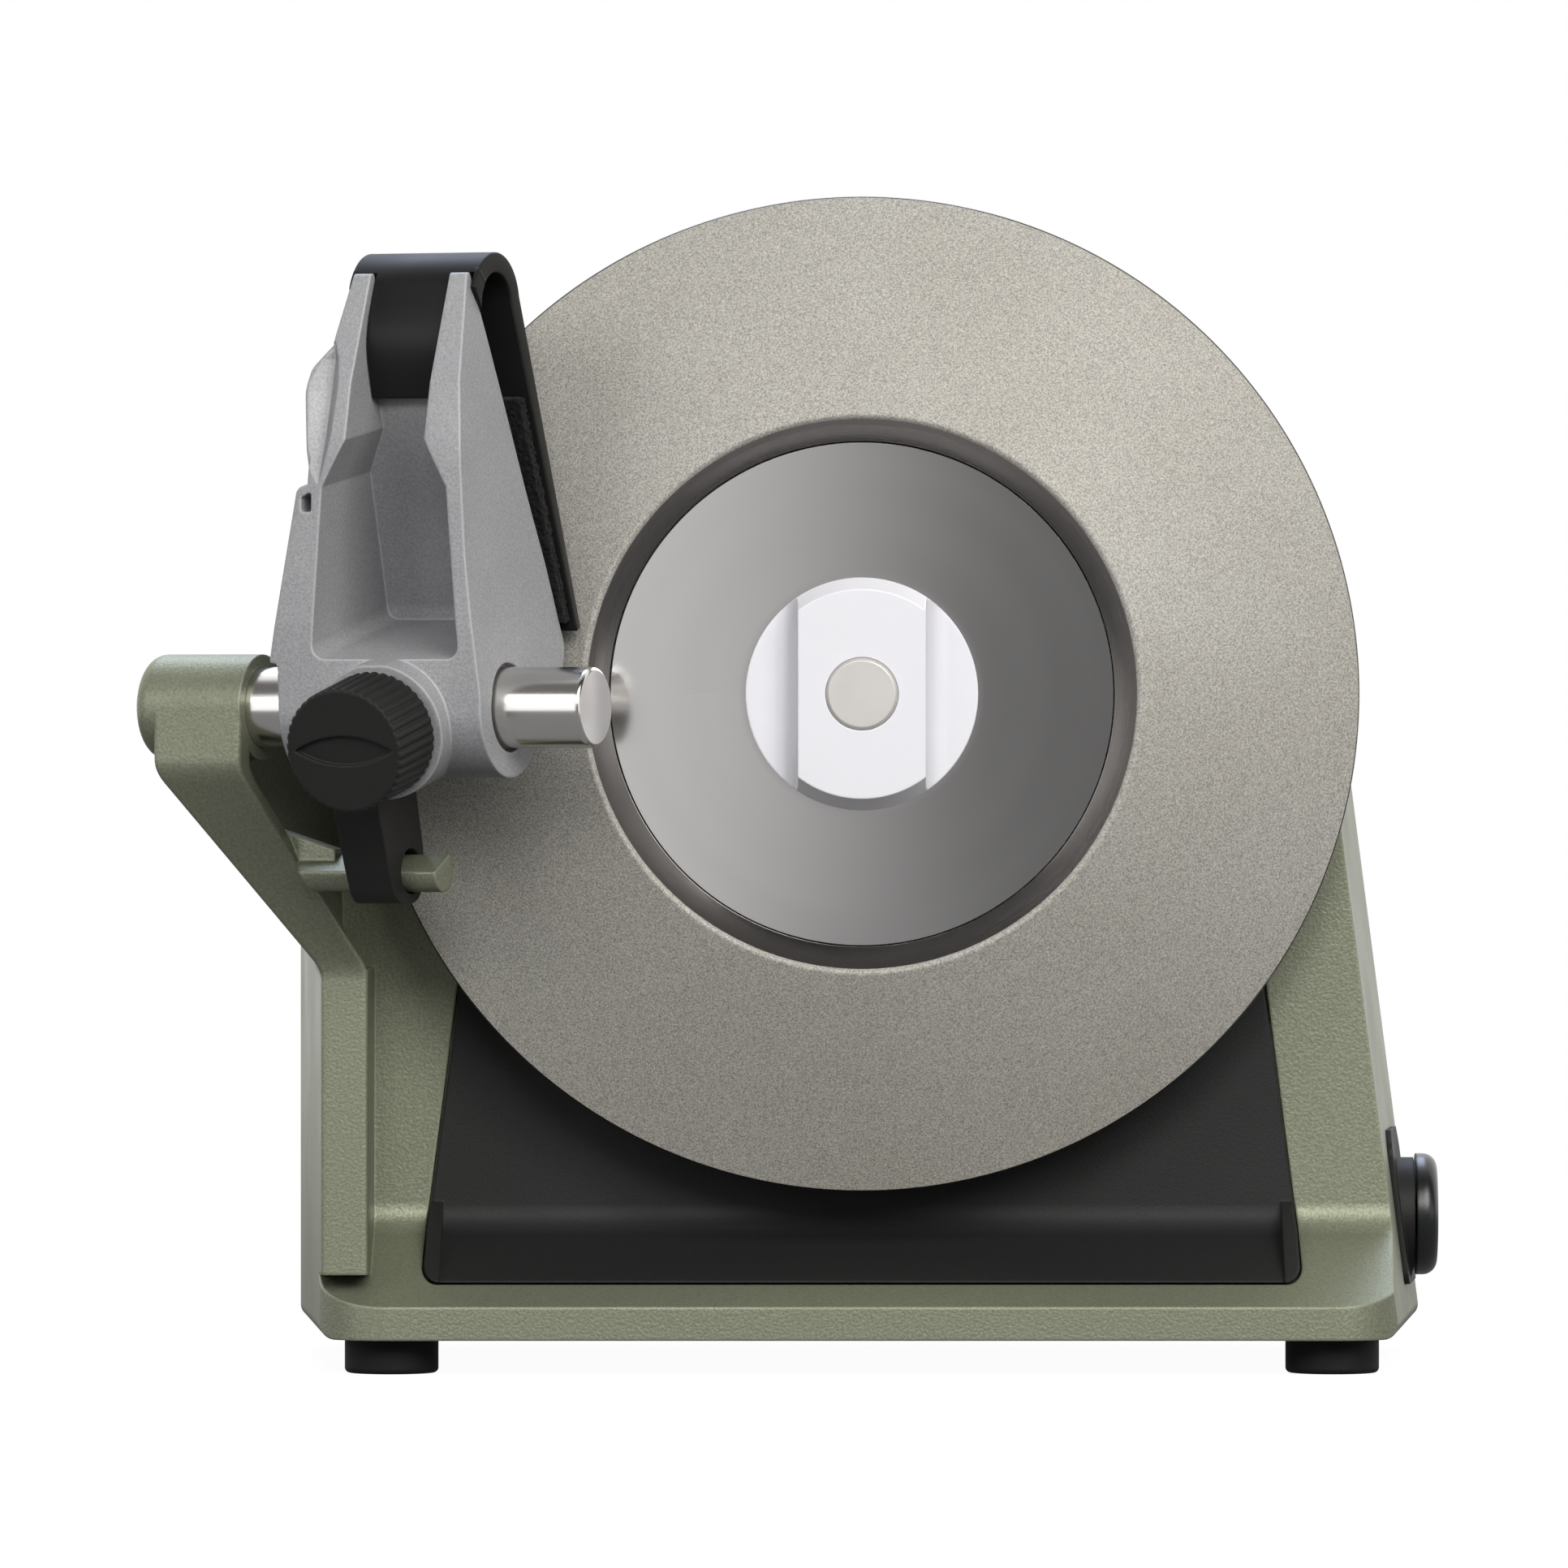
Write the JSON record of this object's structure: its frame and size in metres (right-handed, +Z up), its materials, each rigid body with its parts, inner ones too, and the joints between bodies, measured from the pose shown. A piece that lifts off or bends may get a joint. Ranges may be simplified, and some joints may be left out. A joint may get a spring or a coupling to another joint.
{
  "type": "electric knife sharpener",
  "caption": "Bench knife sharpener: a geared motor turns a conical abrasive wheel and a rear honing wheel, with a blade guide that slides and tilts on a side bar.",
  "frame": {"origin": "on the table under the middle of the sharpener's overall length and depth", "axes": "+Z up, +Y from the abrasive wheel back along the shaft to the honing wheel, +X to the side of the switch"},
  "size_m": [0.1963, 0.1823, 0.177],
  "materials": {
    "green_coat": "fine-grained powder coat",
    "black_plastic": "matte",
    "black_rubber": "matte",
    "chrome": "polished",
    "zinc_steel": "machined",
    "abrasive": "fine grit in a nickel bond",
    "mirror_steel": "polished",
    "cast_aluminium": "bead blasted",
    "bright_aluminium": "satin",
    "felt": "rough",
    "honing_compound": "matte",
    "gear_nylon": "matte",
    "board_green": "satin",
    "gloss_black": "satin"
  },
  "bodies": {
    "frame": {"housing": "green_coat", "rear_cover": "green_coat", "cover_screws": "zinc_steel", "cord_gland": "black_rubber", "front_insert": "black_plastic", "insert_magnets": "zinc_steel", "rubber_feet": "black_rubber", "foot_screws": "zinc_steel", "support_bar": "chrome", "front_bearing": "zinc_steel", "rear_bearing": "zinc_steel", "idler_axle": "zinc_steel", "motor_plate": "zinc_steel", "plate_screws": "zinc_steel", "motor_can": "zinc_steel", "switch_plate": "black_plastic", "switch_body": "black_plastic", "control_board": "board_green", "capacitor": "black_plastic"},
    "spindle": {"diamond_wheel": "abrasive", "hub_disc": "mirror_steel", "main_shaft": "zinc_steel", "honing_wheel": "honing_compound", "honing_hub": "black_plastic", "drive_gear": "gear_nylon"},
    "front_nut": {"front_lock_nut": "bright_aluminium"},
    "rear_nut": {"rear_lock_nut": "bright_aluminium"},
    "idler": {"idler_gear": "gear_nylon"},
    "rotor": {"motor_rotor": "zinc_steel", "motor_pinion": "zinc_steel"},
    "lever": {"anti_turn_lever": "black_plastic"},
    "guide": {"guide_casting": "cast_aluminium", "guide_leaf": "black_plastic", "felt_pad": "felt"},
    "knob": {"angle_knob": "black_plastic", "knob_spindle": "zinc_steel"},
    "switch": {"switch_knob": "gloss_black"}
  },
  "joints": [
    {"name": "wheel_spin", "type": "hinge", "parent": "frame", "child": "spindle", "pos_m": [0.0102, -0.0339, 0.102], "axis": [0, 1, 0], "continuous": true},
    {"name": "idler_spin", "type": "hinge", "parent": "frame", "child": "idler", "pos_m": [0.02645, 0.0151, 0.07385], "axis": [0, 1, 0], "continuous": true},
    {"name": "rotor_spin", "type": "hinge", "parent": "frame", "child": "rotor", "pos_m": [0.01619, 0.0261, 0.04566], "axis": [0, 1, 0], "continuous": true},
    {"name": "front_nut_turn", "type": "hinge", "parent": "spindle", "child": "front_nut", "pos_m": [0.0102, -0.0459, 0.102], "axis": [0, 1, 0], "range_deg": [0, 90]},
    {"name": "rear_nut_turn", "type": "hinge", "parent": "spindle", "child": "rear_nut", "pos_m": [0.0102, 0.0861, 0.102], "axis": [0, 1, 0], "range_deg": [0, 90]},
    {"name": "guide_slide", "type": "slide", "parent": "frame", "child": "lever", "axis": [0.9135, -0.4067, 0], "range_m": [-0.005, 0.005]},
    {"name": "guide_tilt", "type": "hinge", "parent": "lever", "child": "guide", "pos_m": [-0.05571, -0.06487, 0.1], "axis": [0.9135, -0.4067, 0], "range_deg": [0, 12]},
    {"name": "angle_knob_turn", "type": "hinge", "parent": "guide", "child": "knob", "pos_m": [-0.061, -0.07675, 0.0963], "axis": [0.3963, 0.8901, 0.225], "range_deg": [0, 300]},
    {"name": "switch_turn", "type": "hinge", "parent": "frame", "child": "switch", "pos_m": [0.0926, 0.0061, 0.0222], "axis": [1, 0, 0], "range_deg": [0, 90]}
  ],
  "couplings": [
    {"joint": "idler_spin", "follows": "wheel_spin", "ratio": -2.25},
    {"joint": "rotor_spin", "follows": "wheel_spin", "ratio": 9},
    {"joint": "angle_knob_turn", "follows": "guide_tilt", "ratio": 25}
  ]
}
